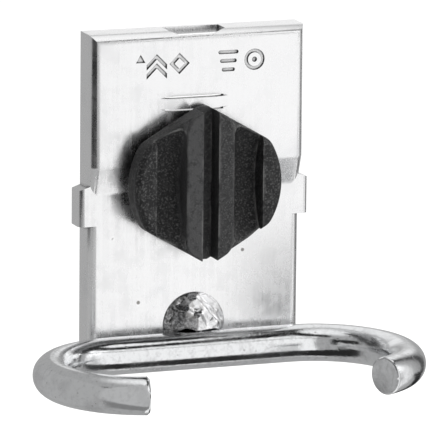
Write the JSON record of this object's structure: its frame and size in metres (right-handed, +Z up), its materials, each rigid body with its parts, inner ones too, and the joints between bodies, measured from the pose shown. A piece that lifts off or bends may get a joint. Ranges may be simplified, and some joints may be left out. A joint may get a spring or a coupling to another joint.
{
  "type": "open ring holder",
  "caption": "Pressed steel panel bracket with an open ring of bent round rod welded to its foot and a quarter-turn lock worked by a plastic knob.",
  "frame": {"origin": "where the lock axis meets the rear rim of the plate, the plane that bears on the panel", "axes": "+Y out of the plate's back into the panel, +Z up along the plate, +X to the right when the knob is looked at from the front, along +Y"},
  "size_m": [0.0636, 0.0437, 0.0542],
  "materials": {
    "plated_sheet": "bright plated sheet steel with fine rolling marks",
    "ring_steel": "polished bright plated round bar, duller at the cut ends",
    "weld_metal": "plated weld metal, lumpy",
    "knob_plastic": "finely textured black moulding",
    "bush_plastic": "natural acetal",
    "lock_steel": "zinc plated",
    "spring_steel": "rolled spring steel"
  },
  "bodies": {
    "bracket": {"mounting_plate": "plated_sheet", "ring_rod": "ring_steel", "ring_weld_top": "weld_metal", "ring_weld_bottom": "weld_metal", "guide_bush": "bush_plastic", "bearing_washer": "bush_plastic"},
    "lock": {"knob": "knob_plastic", "lock_spindle": "lock_steel", "disc_spring": "spring_steel", "retaining_clip": "spring_steel", "lock_bar": "lock_steel", "lock_nut": "lock_steel"}
  },
  "joints": [
    {"name": "lock_turn", "type": "hinge", "parent": "bracket", "child": "lock", "pos_m": [0, 0, 0], "axis": [0, 1, 0], "range_deg": [0, 90]}
  ]
}
